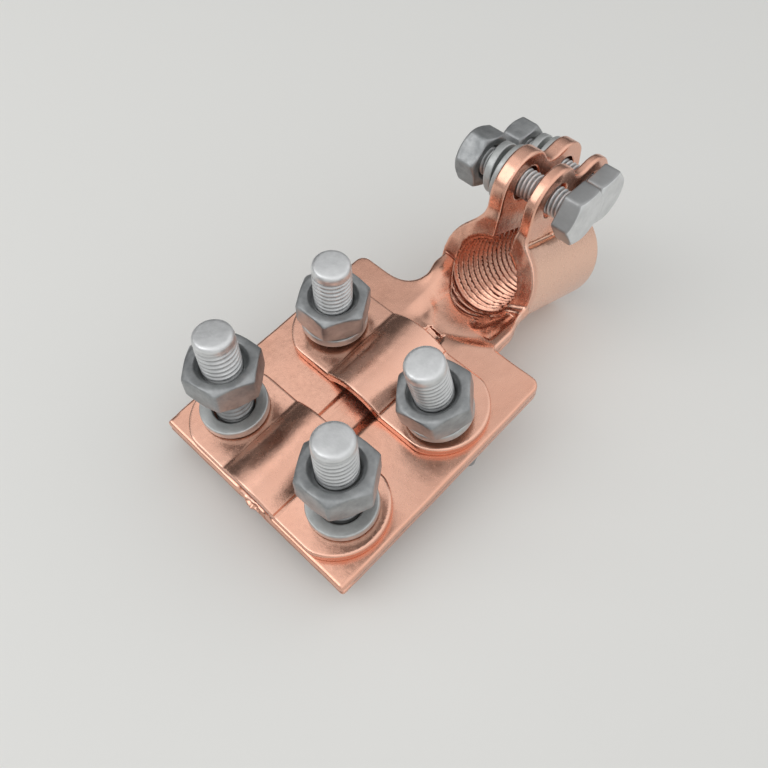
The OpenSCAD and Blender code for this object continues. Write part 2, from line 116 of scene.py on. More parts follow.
# Neck, whose left side widens and right side narrows behind one place
NECK_LEFT = 13.2
NECK_RIGHT = 16.8
NECK_TURN_Y = 42.0
NECK_TAPER = 2.4
NECK_TAPER_L = 8.0
NECK_WIDEN = 1.6
NECK_WIDEN_L = 6.0
NECK_MID_Y = 30.0
NECK_HALF_L = 22.0
LEFT_BLEND = 9.4
RIGHT_BLEND = 1.6
NECK_DIP = 0.62
DIP_Y = 36.5
DIP_BLEND = 5.0
DIP_X = 1.5
DIP_HALF_W = 7.5
BULGE_H = 1.2
BULGE_AT = (-11.5, 45.0)
BULGE_SIZE = (3.4, 4.5)
BELLY_TOP_Z = -3.2
BELLY_START_Y = 28.0
BELLY_S = -12.0
BELLY_HALF_L = 13.0
BELLY_BLEND = 3.0

# Dish behind the groove, its flaring right side and the ridge along its left
DISH_DEPTH = 1.3
DISH_Y = 27.0
DISH_START_L = 6.0
DISH_LEFT = -10.0
DISH_LEFT_W = 5.0
DISH_RIGHT = 6.0
DISH_RIGHT_W = 8.0
DISH_FLARE = 8.0
DISH_FLARE_Y = 30.0
DISH_FLARE_L = 7.5
RIDGE_H = 0.42
RIDGE_HALF_W = 1.5
RIDGE_AT = (-4.25, 33.9)
RIDGE_ACROSS = (0.81, 0.587)
RIDGE_START_Y = 30.2
RIDGE_START_L = 2.0
RIDGE_END_Y = 39.0
RIDGE_END_L = 4.0

# Throat: lip over the bore and the torn hollow on its right
LIP_S = -7.8
LIP_X = 2.0
LIP_CURVE = 0.055
MOUTH_INSET = 0.4
MOUTH_EDGE = 1.6
TORN_X = 9.3
TORN_HALF_W = 4.6
TORN_Y = 37.6
TORN_STEP = 1.3
TORN_END_S = -1.5
TORN_EDGE = 1.6
TORN_RIM = 0.4
TORN_SLOPE = 0.6
TORN_LESS_SLOPE = 0.45
TORN_LESS_X = 6.0
TORN_LESS_W = 6.0

# Barrel and ears
BARREL_L = 37.7
BARREL_R = 15.2
BARREL_EDGE_R = 0.5
BORE_R = 11.0
BORE_MOUTH = 36.7
THREAD_PITCH = 2.5
THREAD_DEPTH = 1.2
THREAD_SHARPNESS = 3.0
THREAD_END_GAP = 0.8
THREAD_END_L = 1.2
EAR_OUT = 6.7
SLOT_LEFT = -2.0
SLOT_RIGHT = 4.0
SLOT_START_S = -8.0
SLOT_EDGE = 0.5
BORE_EDGE = 0.25
JOIN_LEFT = 0.3
JOIN_RIGHT = 0.8
EAR_RIGHT_OUT = 7.5
EAR_RIGHT_TAPER = 0.7
EAR_TAPER_S = 4.0
EAR_TAPER_L = 14.0
EAR_EDGE_R = 0.8
EAR_LEFT_ROOT = 5.0
EAR_RIGHT_ROOT = 0.5
EAR_NEAR_ROOT = 2.5
EAR_NEAR_L = 3.0
EAR_FRONT_SLOPE = 0.5
EAR_FRONT_U = 15.0
EAR_FRONT_BLEND = 7.0
EAR_FRONT_EDGE = 0.5
LOBE_R = 8.97
EAR_BOLT_H = 25.7
EAR_BOLT_S = (6.5, 26.1)
SADDLE_R = 6.0
FOOT_U = 16.5
FOOT_HALF_H = 7.6
FOOT_INSET = 1.0
FOOT_NEAR_BLEND = 6.0
FOOT_FAR_BLEND = 2.0
SADDLE_EDGE = 0.6
WEB_U = 22.0
WEB_OVERLAP = 2.0
EAR_HOLE_R = 4.8
EAR_HOLE_EDGE = 0.5
CREASE_FROM = (7.6, 1.5, 13.3)
CREASE_TO = (7.2, 16.0, 13.5)
CREASE_R = 0.75
CREASE_EDGE = 0.2

# Scales of distances to sloping or flattened surfaces
FACE_SCALE = 0.9
SEAM_SCALE = 0.8
TORN_FLOOR_SCALE = 0.85
TORN_SCALE = 0.9

# Edge weights of copper: share and width of lighter edges, partly wear and partly painted highlight, with
# painted shade in hollows; thread from painted shade in roots to painted highlight on crests; places of
# painted shade
BODY_WEAR_HIGHLIGHT_SHADE = 0.7
BODY_WEAR_HIGHLIGHT_SHADE_W = 1.0
STRAP_WEAR_HIGHLIGHT_SHADE_W = 0.9
ROOT_PAINTED_SHADE = -1.0
CREST_HIGHLIGHT = 1.3
NOSE_PAINTED_SHADE = -0.65
CREASE_PAINTED_SHADE = -0.95
FOLD_PAINTED_SHADE = -0.75
STRAP_SIDE_PAINTED_SHADE = -0.75

# Where places of painted shade and the pale barrel start, and the lengths over which they fade in
NOSE_SHADE_Y = 1.0
NOSE_SHADE_Z = 0.5
NOSE_SHADE_FADE = 0.8
CREASE_REACH = 0.3
FOLD_X = 8.0
FOLD_X_FADE = 3.0
FOLD_S = 0.8
FOLD_S_FADE = 0.3
FOLD_U = 8.0
FOLD_U_FADE = 6.0
FOLD_INSET = 0.4
STRAP_SIDE_FROM = 0.55
STRAP_SIDE_FADE = 0.35
PALE_R = 13.0
PALE_R_FADE = 1.5
PALE_S = 0.5
PALE_U = 17.0
PALE_FADE = 3.0

# Keeper straps
STRAP_W = 25.2
STRAP_T = 3.0
STRAP_END_R = 13.2
STRAP_END_X = 17.2
ARCH_W = 19.2
ARCH_H = 3.6
ARCH_BLEND = 0.9
ARCH_SHARE = 0.98
FAR_BELOW = -9
STRAP_EDGE_R = 0.6
STRAP_CORNER = 0.5
STRAP_HOLE_EDGE = 0.5
STRAP_Y = {"front": -22.5, "rear": 13.0}

# Fasteners
BOLT_AT = {"fl": (-19.3, -22.3), "fr": (19.3, -22.3), "rl": (-19.4, 12.6), "rr": (20.2, 11.5)}
PALM_BOLT = {"r": 5.0, "pitch": 1.5, "af": 17.4, "head": 6.4, "nut": 7.8}
PALM_BOLT_L = {"f": 39.37, "r": 35.0}
EAR_BOLT = {"r": 4.0, "length": 30.0, "pitch": 1.25, "af": 14.0, "head": 5.6, "nut": 6.8}
PALM_SPRING = {"ri": 5.6, "ro": 8.8, "t": 2.6, "rise": 0.7}
EAR_SPRING = {"ri": 4.6, "ro": 7.0, "t": 2.3, "rise": 1.9}
# Seat of each palm bolt head, each front nut's under face, depth of thread, turns of head, nut and washer
PALM_SEATS = {
    "fl": {"drop": 6.3, "nut_z": 15.1, "thread": 0.62, "turn": 12, "nut_turn": 11, "washer_turn": 100},
    "fr": {"drop": 6.3, "nut_z": 14.3, "thread": 0.45, "turn": 40, "nut_turn": 4, "washer_turn": 70},
    "rl": {"drop": 7.2, "nut_z": None, "thread": 0.62, "turn": 25, "nut_turn": 2, "washer_turn": 120},
    "rr": {"drop": 6.6, "nut_z": None, "thread": 0.45, "turn": 51, "nut_turn": 9, "washer_turn": 60},
}
# Space under each ear bolt head and the turns of head and nut, seen from the nut's side
EAR_SEATS = {
    "near": {"gap": 5.0, "turn": -53, "nut_turn": -37},
    "far": {"gap": 1.2, "turn": -58, "nut_turn": -56},
}
EAR_THREAD = 0.5
EAR_SPRING_LEAN = 4.0
EAR_FLAT_T = 1.6
EAR_FLAT_RO = 8.0
EAR_FLAT_PLAY = 0.45
SEAT_GAP = 0.05
MOVE_GAP = 0.3
EAR_NUT_GAP = 1.5
SLIT = 1.2
SPRING_EDGE = 0.45
FLAT_EDGE = 0.35
NUT_PLAY = 0.06
HEX_CORNER_R = 0.5
HEAD_FLAT = 0.94
NUT_FLAT = 0.96
CHAMFER_SLOPE = 0.58
# Mouth of a nut as a share of its radius, and how much wider and deeper it is on the upper side
NUT_MOUTH = 0.24
NUT_TOP_WIDE = 1.25
NUT_TOP_DEEP = 1.6
# Tip of a bolt: share of its radius, radii from the end, easing
BOLT_TIP = ((0.985, 0.33, 0), (0.96, 0.14, 0.5), (0.84, 0.02, 0.6), (0.3, 0.0, 0))
THREAD_START = 0.9
THREAD_TIP = 0.34
THREAD_FADE_GAP = 0.6
THREAD_FADE_L = 1.2
TIP_INSET = 0.12
CREST_POWER = 0.7

# Weights that darken zinc: a head's outer face a little; painted shade on a head's sides and on the shank
# under a nut
HEAD_FACE_TONE = -0.22
HEAD_SIDE_PAINTED_SHADE = -0.80
SHANK_PAINTED_SHADE = -0.95

# Fineness of the meshes, and steps by which a distance function is felt out
BODY_GRID = (((-33.8, 33.8, 0.56),), ((-37.5, 36, 0.64), (36, 96, 0.45)), ((-33, 33.5, 0.49),))
STRAP_GRID = 0.45
PULL_STEP = 0.09
MOST_PULL = 0.26
NORMAL_STEP = 0.13
LEAST_SLOPE = 0.3
ROWS_PER_TURN = 8
SPLIT_RINGS = 90
RING_POINTS = 96
RING_ANGLES = np.linspace(0, 2 * math.pi, RING_POINTS, endpoint=False)
SHARP_DEG = 50

# Colours, lamps in metres, and the camera's place in the palm's millimetres
COPPER_SPECK = (0.36, 0.16, 0.10)
# Lighter edges: partly wear, partly painted highlight
COPPER_WEAR_AND_HIGHLIGHT = (0.97, 0.70, 0.58)
# Painted shade in hollows, thread roots, creases and on shaded sides
COPPER_PAINTED_SHADE = (0.22, 0.065, 0.04)
COPPER_PALE = (0.93, 0.60, 0.46)
# Painted shade in thread roots, on head sides and on the shank under a nut
ZINC_PAINTED_SHADE = (0.16, 0.16, 0.16)
FLOOR_COLOUR = (0.785, 0.785, 0.762)
FLOOR_ROUGHNESS = 0.55
FLOOR_HALF = 3.0
ROOM_STRENGTH = 0.93
BRIGHT_SIDE = (0.55, 0.25, 0.80)
BRIGHT_TONES = ((0.0, 0.10), (0.14, 0.11), (0.55, 0.68), (0.72, 0.92), (1.0, 1.10))
FRONT_SIDE = (0.20, -0.95, 0.22)
FRONT_TONES = ((0.3, 0.0), (1.0, 0.45))
LAMP_TARGET = (0.0, -0.06, 0.0)
LAMPS = {
    "front_left_soft": {"at": (-0.50, -0.50, 0.75), "size": 1.10, "power": 1.9},
    "front_soft": {"at": (-0.40, -0.70, 0.62), "size": 0.60, "power": 1.3},
}
CAMERA_AT = (81.24, -54.20, 174.49)
CAMERA_AZIMUTH = 51.29
CAMERA_ELEVATION = 59.88
CAMERA_ROLL = -8.5
CAMERA_NEAR = 0.01
LENS_PIXELS = 785.0
IMAGE_PIXELS = 768.0
SENSOR = 36.0


# Frames

def frame_matrix(origin_m, x_dir, y_dir, z_dir):
    """Millimetre coordinates along three directions, placed at an origin in metres"""
    matrix = np.eye(4)
    for column, direction in enumerate((x_dir, y_dir, z_dir)):
        matrix[:3, column] = np.array(direction, float) * MM
    matrix[:3, 3] = origin_m
    return matrix


def moved(matrix, x, y, z):
    """The same frame with its origin at a local point"""
    shift = np.eye(4)
    shift[:3, 3] = (x, y, z)
    return matrix @ shift


ACROSS = np.array([1.0, 0.0, 0.0])
palm_y = -np.array(mounts["conductor_channel"]["axis"])
palm_z = np.cross(ACROSS, palm_y)
first_bolt = BOLT_AT["fl"][0] * ACROSS + BOLT_AT["fl"][1] * palm_y
palm_origin = np.array(joints["palm_bolt_fl_turn"]["pos_m"]) - first_bolt * MM
PALM = frame_matrix(palm_origin, ACROSS, palm_y, palm_z)

barrel_y = np.array(mounts["stud_bore"]["axis"])
barrel_z = np.cross(ACROSS, barrel_y)
BARREL = frame_matrix(-barrel_y * BORE_MOUTH * MM, ACROSS, barrel_y, barrel_z)
PALM_TO_BARREL = np.linalg.inv(BARREL) @ PALM


def in_palm(direction):
    """A world direction along the palm's three axes"""
    return np.array([np.dot(direction, axis) for axis in (ACROSS, palm_y, palm_z)])


def palm_bolt_frame(key):
    """Z up one palm bolt from the palm face, X as level across the palm as the lean allows"""
    joint = joints["palm_bolt_%s_turn" % key]
    up = -np.array(joint["axis"])
    local = in_palm(up)
    side = math.atan2(local[0], local[2])
    x_dir = math.cos(side) * ACROSS - math.sin(side) * palm_z
    return frame_matrix(joint["pos_m"], x_dir, np.cross(up, x_dir), up)


def ear_bolt_frame(key):
    """Z along one ear bolt toward its head, X down the ear"""
    joint = joints["ear_nut_%s_turn" % key]
    return frame_matrix(joint["pos_m"], -barrel_z, barrel_y, ACROSS)


# Meshes

def add_mesh(name, verts, faces, matrix, normals=None, edge=None, sharp_deg=None):
    """A mesh object from local millimetre points, with an optional edge weight for its material"""
    points = np.asarray(verts, float) @ matrix[:3, :3].T + matrix[:3, 3]
    mesh = bpy.data.meshes.new(name)
    mesh.from_pydata(points.tolist(), [], faces)
    mesh.polygons.foreach_set("use_smooth", np.ones(len(mesh.polygons), bool))
    if edge is not None:
        layer = mesh.attributes.new("edge", "FLOAT", "POINT")
        layer.data.foreach_set("value", np.asarray(edge, np.float32))
    if sharp_deg:
        mesh.set_sharp_from_angle(angle=math.radians(sharp_deg))
    if normals is not None:
        directions = normals @ (matrix[:3, :3] / MM).T
        mesh.normals_split_custom_set_from_vertices(directions.tolist())
    mesh.update()
    obj = bpy.data.objects.new(name, mesh)
    bpy.context.scene.collection.objects.link(obj)
    return obj


def lathe(rings, caps=(False, False), closed=False):
    """Quads between rings of equal length, with a fan on a capped end"""
    rings = [np.asarray(ring, float) for ring in rings]
    count = len(rings[0])
    verts = np.concatenate(rings)
    faces = []
    spans = len(rings) if closed else len(rings) - 1
    for i in range(spans):
        a = i * count
        b = (i + 1) % len(rings) * count
        for j in range(count):
            k = (j + 1) % count
            faces.append((a + j, a + k, b + k, b + j))
    for end, cap in ((0, caps[0]), (len(rings) - 1, caps[1])):
        if cap:
            centre = len(verts)
            verts = np.concatenate([verts, rings[end].mean(0)[None]])
            for j in range(count):
                k = (j + 1) % count
                pair = (end * count + k, end * count + j)
                faces.append((centre, *(pair if end == 0 else pair[::-1])))
    return verts, faces


def rounded(profile, cuts, closed, steps=3):
    """Corners of a profile eased by short curves. A profile row is (radius, height) over all angles"""
    rows = [np.asarray(row, float) for row in profile]
    out = []
    for i, row in enumerate(rows):
        if cuts[i] == 0 or (not closed and i in (0, len(rows) - 1)):
            out.append(row)
            continue
        ends = []
        for other in (rows[i - 1], rows[(i + 1) % len(rows)]):
            span = other - row
            reach = np.linalg.norm(span, axis=0)
            ends.append(row + span * np.minimum(cuts[i] / np.maximum(reach, 1e-6), 0.45))
        for t in np.linspace(0, 1, steps + 1):
            out.append((1 - t) ** 2 * ends[0] + 2 * t * (1 - t) * row + t * t * ends[1])
    return out


def turned_rings(profile):
    """Profile rows of (radius, height) swept round the Z axis"""
    return [np.stack([radius * np.cos(RING_ANGLES), radius * np.sin(RING_ANGLES),
                      height * np.ones(RING_POINTS)], 1) for radius, height in profile]


def grid_lines(*spans):
    """Coordinates along one axis, given as (start, end, step) spans"""
    return np.concatenate([np.arange(*span, dtype=np.float32) for span in spans])


def surface_net(distance, axes):
    """Points, quads and normals over the zero level of a distance function"""
    field = distance(*np.meshgrid(*axes, indexing="ij"))
    inside = field < 0
    cells = [slice(None, -1), slice(1, None)]
    corners = [(i, j, k) for i in (0, 1) for j in (0, 1) for k in (0, 1)]
    total = sum(inside[cells[i], cells[j], cells[k]].astype(np.int8) for i, j, k in corners)
    where = np.argwhere((total > 0) & (total < 8))
    index = np.full(total.shape, -1, np.int32)
    index[tuple(where.T)] = np.arange(len(where))
    values = {c: field[tuple((where + c).T)] for c in corners}
    crossing = np.zeros((len(where), 3))
    hits = np.zeros(len(where))
    for a in corners:
        for axis in range(3):
            if a[axis] == 1:
                continue
            b = tuple(1 if i == axis else v for i, v in enumerate(a))
            cut = (values[a] < 0) != (values[b] < 0)
            t = values[a] / np.where(cut, values[a] - values[b], 1)
            point = np.array(a, float) + np.outer(t, np.eye(3)[axis])
            crossing[cut] += point[cut]
            hits[cut] += 1
    start = np.stack([axes[k][where[:, k]] for k in range(3)], 1)
    span = np.stack([np.diff(axes[k])[where[:, k]] for k in range(3)], 1)
    verts = start + crossing / hits[:, None] * span
    verts = settled(distance, verts)
    normals, _ = gradient(distance, verts, NORMAL_STEP)
    return verts, net_quads(inside, index), normals


def net_quads(inside, index):
    """One quad round each grid edge that crosses the surface, facing out"""
    quads = []
    for axis in range(3):
        first = [slice(1, -1)] * 3
        second = [slice(1, -1)] * 3
        first[axis] = slice(None, -1)
        second[axis] = slice(1, None)
        here, there = inside[tuple(first)], inside[tuple(second)]
        edges = np.argwhere(here != there)
        flip = there[tuple(edges.T)]
        base = edges + np.array([0 if i == axis else 1 for i in range(3)])
        p, q = (axis + 1) % 3, (axis + 2) % 3
        ring = []
        for dp, dq in ((1, 1), (0, 1), (0, 0), (1, 0)):
            cell = base.copy()
            cell[:, p] -= dp
            cell[:, q] -= dq
            ring.append(index[tuple(cell.T)])
        ring = np.stack(ring, 1)
        ring[flip] = ring[flip][:, ::-1]
        quads.append(ring)
    return np.concatenate(quads).tolist()


def settled(distance, verts):
    """Points pulled onto the zero level in three short moves"""
    for _ in range(3):
        normals, slope = gradient(distance, verts, PULL_STEP)
        move = distance(*verts.T) / np.maximum(slope, LEAST_SLOPE)
        verts = verts - normals * np.clip(move, -MOST_PULL, MOST_PULL)[:, None]
    return verts


def gradient(distance, points, h):
    """Unit gradient and slope of a distance function at points"""
    grad = np.zeros_like(points)
    for axis in range(3):
        shift = np.zeros(3)
        shift[axis] = h
        grad[:, axis] = (distance(*(points + shift).T) - distance(*(points - shift).T)) / (2 * h)
    slope = np.linalg.norm(grad, axis=1)
    return grad / np.maximum(slope, 1e-6)[:, None], slope


def edge_weight(distance, verts, normals, width):
    """1 on outside edges, 0 on flats, below 0 in hollows"""
    _, slope = gradient(distance, verts, NORMAL_STEP)
    reach = width * np.maximum(slope, LEAST_SLOPE)
    outer = distance(*(verts - normals * width).T) / reach + 1
    inner = distance(*(verts + normals * width).T) / reach - 1
    return np.clip(outer, 0, 1) + np.clip(inner, -1, 0)


# Distance helpers

def smooth_min(a, b, k):
    """Union of two fields, blended where they are within k of each other"""
    h = np.maximum(k - np.abs(a - b), 0) / k
    return np.minimum(a, b) - h * h * k / 4


def smooth_max(a, b, k):
    """Intersection of two fields, blended in the same way"""
    return -smooth_min(-a, -b, k)


def round_both(a, b, r):
    """Intersection of two fields with a rounded edge"""
    a, b = a + r, b + r
    return np.hypot(np.maximum(a, 0), np.maximum(b, 0)) + np.minimum(np.maximum(a, b), 0) - r


def capsule(x, y, z, a, b, r):
    """Distance to a round bar between two points"""
    span = np.subtract(b, a)
    t = ((x - a[0]) * span[0] + (y - a[1]) * span[1] + (z - a[2]) * span[2]) / np.dot(span, span)
    t = np.clip(t, 0, 1)
    off = [v - a[i] - t * span[i] for i, v in enumerate((x, y, z))]
    return np.sqrt(off[0] ** 2 + off[1] ** 2 + off[2] ** 2) - r


def ease(t):
    """Soft step from 0 to 1"""
    t = np.clip(t, 0, 1)
    return t * t * (3 - 2 * t)


def ripple(x, y, z, length, seed):
    """Smooth waves of about one size, between -1 and 1"""
    draw = np.random.RandomState(seed)
    total = 0
    for _ in range(6):
        d = draw.normal(size=3)
        d *= 2 * math.pi / length * draw.uniform(0.6, 1.5) / np.linalg.norm(d)
        total = total + np.sin(d[0] * x + d[1] * y + d[2] * z + draw.uniform(0, 6.28))
    return total / 6


def wave(x, y, z, kind):
    """Ripple of a named height, length and seed"""
    height, length, seed = kind
    return height * ripple(x, y, z, length, seed)


# Copper body

def box_distance(x, y, half_x, half_y):
    """Distance to a rectangle about the origin"""
    dx = np.abs(x) - half_x
    dy = np.abs(y) - half_y
    return np.hypot(np.maximum(dx, 0), np.maximum(dy, 0)) + np.minimum(np.maximum(dx, dy), 0)


def plan_distance(x, y):
    """Palm outline with its neck and two unequal shoulders"""
    corner = np.where(y > 0, REAR_CORNER_R, FRONT_CORNER_R)
    plate = box_distance(x, y, PALM_HALF_W - corner, PALM_HALF_L - corner) - corner
    right = NECK_RIGHT - NECK_TAPER * ease((y - NECK_TURN_Y) / NECK_TAPER_L)
    left = NECK_LEFT + NECK_WIDEN * ease((y - NECK_TURN_Y) / NECK_WIDEN_L)
    neck = np.maximum(np.maximum(x - right, -left - x), np.abs(y - NECK_MID_Y) - NECK_HALF_L)
    return smooth_min(plate, neck, np.where(x < 0, LEFT_BLEND, RIGHT_BLEND))


def groove_depth(x, y):
    """Depth of the pressed groove: a steep left wall with a ledge, a soft right edge, a sheared rear end"""
    taper = GROOVE_TAPER * ease((y - GROOVE_TAPER_Y) / GROOVE_TAPER_L)
    left = x - GROOVE_LEFT - taper
    profile = sum(share * ease((left - start) / width) for share, start, width in GROOVE_STEPS)
    right = ease((GROOVE_RIGHT - taper - x) / GROOVE_RIGHT_W)
    step = SHEAR_STEP * ease((x - SHEAR_STEP_X) / SHEAR_STEP_W)
    sheared = GROOVE_END_Y - SHEAR_SLOPE * (x - SHEAR_X) + step
    along = ease((sheared - y) / GROOVE_END_L)
    return GROOVE_DEPTH * profile * right * along


def dish_depth(x, y):
    """Shallow hollow from the groove's end to the throat, with a soft ridge along its left"""
    right = DISH_RIGHT + DISH_FLARE * ease((y - DISH_FLARE_Y) / DISH_FLARE_L)
    dish = DISH_DEPTH * ease((y - DISH_Y) / DISH_START_L) * ease((x - DISH_LEFT) / DISH_LEFT_W)
    dish = dish * ease((right + DISH_RIGHT_W / 2 - x) / DISH_RIGHT_W)
    off = (x - RIDGE_AT[0]) * RIDGE_ACROSS[0] + (y - RIDGE_AT[1]) * RIDGE_ACROSS[1]
    ridge = RIDGE_H * np.exp(-(off / RIDGE_HALF_W) ** 2)
    ridge = ridge * ease((y - RIDGE_START_Y) / RIDGE_START_L) * ease((RIDGE_END_Y - y) / RIDGE_END_L)
    return dish - ridge


def crumple(x, y, z):
    """Crushed copper where the groove breaks out of the nose, 0 elsewhere"""
    along = (x - CRUMPLE_X) / CRUMPLE_SIZE[0]
    inward = (y + PALM_HALF_L) / CRUMPLE_SIZE[1]
    return np.exp(-along ** 2 - inward ** 2) * sum(wave(x, y, z, kind) for kind in CRUMPLE_WAVES)


def palm_top(x, y):
    """Height of the upper face, with groove, dish, dip toward the bore and bulge on the left"""
    dip = NECK_DIP * smooth_max(y - DIP_Y, 0 * y, DIP_BLEND) * np.exp(-((x - DIP_X) / DIP_HALF_W) ** 2)
    off_x = (x - BULGE_AT[0]) / BULGE_SIZE[0]
    off_y = (y - BULGE_AT[1]) / BULGE_SIZE[1]
    bulge = BULGE_H * np.exp(-off_x ** 2 - off_y ** 2)
    pressed = np.maximum(groove_depth(x, y), dish_depth(x, y))
    return wave(x, y, 0 * x, FACE_WAVE) - pressed - dip + bulge


def palm_distance(x, y, z):
    """Plate of two pressed layers, whose seam shows along the nose"""
    plan = plan_distance(x, y) + wave(x, y, z, OUTLINE_WAVE) + PLAN_INSET + crumple(x, y, z)
    upper = (z - palm_top(x, y)) * FACE_SCALE
    lower = -PALM_T - z
    nose = ease((-PALM_HALF_L + NOSE_L - y) / (NOSE_L / 2))
    plate = round_both(plan, np.maximum(upper, lower), PALM_EDGE_R + NOSE_EDGE_R * nose)
    seam_z = -SEAM_AT * PALM_T - SEAM_SAG * np.exp(-(x / SEAM_SAG_W) ** 2)
    seam_r = (SEAM_R + wave(x, y, 0 * x, SEAM_WAVE)) * nose
    seam = np.hypot(plan * SEAM_SCALE, z - seam_z) - seam_r
    return smooth_max(plate, -seam, SEAM_EDGE)


def ear_outline(s, u):
    """Side view of the ears: two lobes with a hollow between, on a foot almost as long as the barrel"""
    lobes = [np.hypot(s - c, u - EAR_BOLT_H) - LOBE_R for c in EAR_BOLT_S]
    middle = sum(EAR_BOLT_S) / 2
    half = (EAR_BOLT_S[1] - EAR_BOLT_S[0]) / 2
    saddle_u = EAR_BOLT_H + math.sqrt((LOBE_R + SADDLE_R) ** 2 - half ** 2)
    foot_end = EAR_BOLT_S[1] + LOBE_R - FOOT_INSET
    foot = box_distance(s - foot_end / 2, u - FOOT_U, foot_end / 2, FOOT_HALF_H)
    web_half_h = saddle_u - SADDLE_R + WEB_OVERLAP - WEB_U
    web = np.maximum(np.abs(s - middle) - half, np.abs(u - WEB_U) - web_half_h)
    outline = np.minimum(np.minimum(lobes[0], lobes[1]), web)
    outline = smooth_min(outline, foot, np.where(s < middle, FOOT_NEAR_BLEND, FOOT_FAR_BLEND))
    return smooth_max(outline, SADDLE_R - np.hypot(s - middle, u - saddle_u), SADDLE_EDGE)


def bore_crest(xb, s, u):
    """1 on a crest of the bore's thread, 0 in its roots"""
    phase = s / THREAD_PITCH - np.arctan2(u, xb) / (2 * math.pi)
    return (0.5 + 0.5 * np.cos(2 * math.pi * phase)) ** THREAD_SHARPNESS


def bore_radius(xb, s, u):
    """Bore wall with a right hand thread"""
    runout = ease((BARREL_L - THREAD_END_GAP - s) / THREAD_END_L)
    return BORE_R - THREAD_DEPTH * bore_crest(xb, s, u) * runout


def bore_start(xb):
    """Where the bore breaks out of the neck, nearest the palm just right of the middle"""
    return LIP_S + LIP_CURVE * (xb - LIP_X) ** 2


def to_barrel(x, y, z):
    """Palm coordinates turned into the barrel frame"""
    m = PALM_TO_BARREL
    s = m[1, 1] * y + m[1, 2] * z + m[1, 3]
    u = m[2, 1] * y + m[2, 2] * z + m[2, 3]
    return x + m[0, 3], s, u


def torn_distance(x, y, z, s):
    """Torn hollow on the right of the throat, shallower toward its right"""
    slope = TORN_SLOPE - TORN_LESS_SLOPE * ease((x - TORN_LESS_X) / TORN_LESS_W)
    floor = -TORN_STEP - (y - TORN_Y) * slope
    torn = np.maximum(np.maximum((floor - z) * TORN_FLOOR_SCALE, TORN_Y - y), s - TORN_END_S)
    return smooth_max(torn, np.abs(x - TORN_X) - TORN_HALF_W, TORN_EDGE) + wave(x, y, z, TORN_WAVE)


def neck_distance(x, y, z, xb, s, u):
    """Palm and belly with the lip over the bore, torn open on the right"""
    radius = np.hypot(xb, u)
    belly = np.maximum(radius - BARREL_R, np.abs(s - BELLY_S) - BELLY_HALF_L)
    belly = np.maximum(belly, np.maximum(z - BELLY_TOP_Z, BELLY_START_Y - y))
    solid = smooth_min(palm_distance(x, y, z), belly, BELLY_BLEND)
    solid = smooth_max(solid, -torn_distance(x, y, z, s) * TORN_SCALE, TORN_RIM)
    mouth = np.maximum(radius - BORE_R + MOUTH_INSET, bore_start(xb) - s)
    return smooth_max(solid, -mouth, MOUTH_EDGE)


def ears_distance(xb, s, u):
    """Two plates on either side of the slot, the right one thinner toward its far end"""
    right_out = EAR_RIGHT_OUT - EAR_RIGHT_TAPER * ease((s - EAR_TAPER_S) / EAR_TAPER_L)
    left = np.maximum(-EAR_OUT - xb, xb - SLOT_LEFT)
    right = np.maximum(SLOT_RIGHT - xb, xb - right_out)
    return round_both(np.minimum(left, right), ear_outline(s, u), EAR_EDGE_R)


def crease_distance(xb, s, u):
    """Folded line where the right ear stands on the barrel"""
    return capsule(xb, s, u, CREASE_FROM, CREASE_TO, CREASE_R)


def shell_distance(xb, s, u):
    """Barrel and ears, flush with each other at the near end"""
    half = BARREL_L / 2
    tube = round_both(np.hypot(xb, u) - BARREL_R, np.abs(s - half) - half, BARREL_EDGE_R)
    right_root = EAR_RIGHT_ROOT + EAR_NEAR_ROOT * ease((EAR_NEAR_L - s) / EAR_NEAR_L)
    root = np.where(xb < 0, EAR_LEFT_ROOT, right_root)
    shell = smooth_min(tube, ears_distance(xb, s, u), root)
    front = -s - EAR_FRONT_SLOPE * smooth_max(u - EAR_FRONT_U, 0 * u, EAR_FRONT_BLEND)
    return smooth_max(shell, front, EAR_FRONT_EDGE)


def body_distance(x, y, z):
    """The whole copper body, in palm coordinates"""
    xb, s, u = to_barrel(x, y, z)
    join = np.where(xb < 0, JOIN_LEFT, JOIN_RIGHT)
    solid = smooth_min(neck_distance(x, y, z, xb, s, u), shell_distance(xb, s, u), join)
    solid = smooth_max(solid, -crease_distance(xb, s, u), CREASE_EDGE)
    bore = np.maximum(np.hypot(xb, u) - bore_radius(xb, s, u), bore_start(xb) - s)
    solid = smooth_max(solid, -bore, BORE_EDGE)
    slot = np.maximum(np.maximum(SLOT_LEFT - xb, xb - SLOT_RIGHT), -u)
    solid = smooth_max(solid, -np.maximum(slot, SLOT_START_S - s), SLOT_EDGE)
    for centre in EAR_BOLT_S:
        hole = np.hypot(s - centre, u - EAR_BOLT_H) - EAR_HOLE_R
        solid = smooth_max(solid, -hole, EAR_HOLE_EDGE)
    for hole_x, hole_y in BOLT_AT.values():
        hole = np.hypot(x - hole_x, y - hole_y) - HOLE_R
        solid = smooth_max(solid, -hole, HOLE_EDGE)
    return solid


